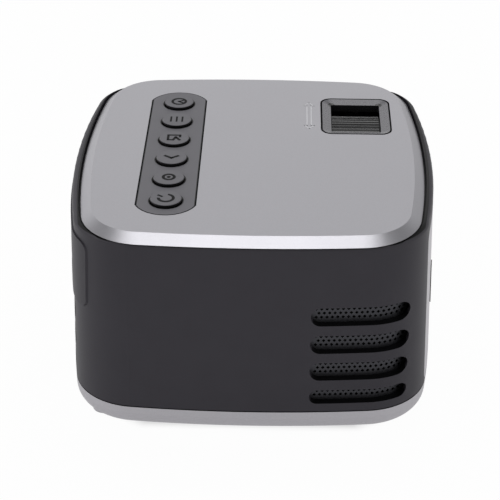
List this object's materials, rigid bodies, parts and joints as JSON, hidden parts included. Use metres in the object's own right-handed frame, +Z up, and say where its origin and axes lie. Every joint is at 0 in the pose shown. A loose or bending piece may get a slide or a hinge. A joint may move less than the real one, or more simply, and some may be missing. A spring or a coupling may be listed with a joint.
{
  "type": "mini projector",
  "caption": "Small portable LED projector with a silver top, six top keys, a focus wheel in a window, side sockets, a slotted speaker grille, lens, light engine and fan.",
  "frame": {"origin": "centre of the footprint, on the surface that the four feet stand on", "axes": "+X out of the lens, -X out of the sockets, -Y the speaker side, +Z up"},
  "size_m": [0.1254, 0.1262, 0.0745],
  "materials": {
    "dark_shell": "fine-textured dark grey moulded plastic",
    "silver_top": "silver paint with a fine satin sparkle",
    "silver_base": "silver paint, satin",
    "foot_rubber": "soft black rubber",
    "black_screw": "black zinc",
    "brass_nut": "turned brass",
    "dark_window": "smoked gloss plastic",
    "dark_trim": "satin dark grey plastic",
    "black_mesh": "black painted perforated sheet",
    "black_plastic": "moulded black plastic",
    "cone_paper": "pressed dark paper",
    "plain_steel": "plated steel",
    "plain_aluminium": "extruded aluminium",
    "grey_key": "satin grey moulded plastic",
    "circuit_board": "green solder mask",
    "lens_glass": "coated clear lens",
    "panel_glass": "dark picture panel",
    "lamp_face": "yellow phosphor under a clear dome"
  },
  "bodies": {
    "casing": {"av_jack": "black_plastic", "base_screws": "black_screw", "board_chips": "black_plastic", "board_screws": "plain_steel", "body_shell": "dark_shell", "bottom_cover": "silver_base", "button_panel": "grey_key", "card_slot": "plain_steel", "condenser_lens": "lens_glass", "data_socket": "plain_steel", "dc_jack": "black_plastic", "engine_housing": "black_plastic", "engine_lid": "black_plastic", "engine_screws": "plain_steel", "fan_frame": "black_plastic", "focus_window_frame": "dark_trim", "front_fascia": "silver_base", "front_fresnel": "lens_glass", "heat_sink": "plain_aluminium", "ir_window": "dark_window", "key_board": "circuit_board", "key_board_screws": "plain_steel", "key_switches": "black_plastic", "led_board": "plain_aluminium", "led_emitter": "lamp_face", "lens_bezel": "dark_trim", "lens_sleeve": "black_plastic", "main_board": "circuit_board", "picture_panel": "panel_glass", "port_plate": "dark_shell", "rear_fresnel": "lens_glass", "rubber_feet": "foot_rubber", "speaker_frame": "black_plastic", "speaker_magnet": "plain_steel", "speaker_mesh": "black_mesh", "top_cover": "silver_top", "tripod_nut": "brass_nut", "video_socket": "plain_steel", "wheel_ring": "black_plastic"},
    "focus_wheel": {"focus_wheel": "black_plastic"},
    "lens_barrel": {"lens_barrel": "black_plastic", "guide_pins": "plain_steel", "rear_lens": "lens_glass", "middle_lens": "lens_glass", "front_lens": "lens_glass"},
    "fan_impeller": {"fan_impeller": "black_plastic"},
    "speaker_cone": {"speaker_cone": "cone_paper"},
    "button_power": {"button_power": "grey_key"},
    "button_ok": {"button_ok": "grey_key"},
    "button_next": {"button_next": "grey_key"},
    "button_source": {"button_source": "grey_key"},
    "button_menu": {"button_menu": "grey_key"},
    "button_back": {"button_back": "grey_key"}
  },
  "joints": [
    {"name": "power_press", "type": "slide", "parent": "casing", "child": "button_power", "axis": [0, 0, -1], "range_m": [0, 0.0006], "stiffness_N_per_m": 300, "springref_m": -0.0004},
    {"name": "ok_press", "type": "slide", "parent": "casing", "child": "button_ok", "axis": [0, 0, -1], "range_m": [0, 0.0006], "stiffness_N_per_m": 300, "springref_m": -0.0004},
    {"name": "next_press", "type": "slide", "parent": "casing", "child": "button_next", "axis": [0, 0, -1], "range_m": [0, 0.0006], "stiffness_N_per_m": 300, "springref_m": -0.0004},
    {"name": "source_press", "type": "slide", "parent": "casing", "child": "button_source", "axis": [0, 0, -1], "range_m": [0, 0.0006], "stiffness_N_per_m": 300, "springref_m": -0.0004},
    {"name": "menu_press", "type": "slide", "parent": "casing", "child": "button_menu", "axis": [0, 0, -1], "range_m": [0, 0.0006], "stiffness_N_per_m": 300, "springref_m": -0.0004},
    {"name": "back_press", "type": "slide", "parent": "casing", "child": "button_back", "axis": [0, 0, -1], "range_m": [0, 0.0006], "stiffness_N_per_m": 300, "springref_m": -0.0004},
    {"name": "focus_turn", "type": "hinge", "parent": "casing", "child": "focus_wheel", "pos_m": [0.03575, 0.0306, 0.0511], "axis": [1, 0, 0], "range_deg": [-90, 90]},
    {"name": "focus_slide", "type": "slide", "parent": "casing", "child": "lens_barrel", "axis": [1, 0, 0], "range_m": [-0.0031, 0.0031]},
    {"name": "fan_spin", "type": "hinge", "parent": "casing", "child": "fan_impeller", "pos_m": [-0.0505, 0.02, 0.0259], "axis": [1, 0, 0], "continuous": true},
    {"name": "cone_drive", "type": "slide", "parent": "casing", "child": "speaker_cone", "axis": [0, -1, 0], "range_m": [-0.0005, 0.0005], "stiffness_N_per_m": 600}
  ],
  "couplings": [
    {"joint": "focus_slide", "follows": "focus_turn", "m_per_rad": -0.0019099}
  ]
}
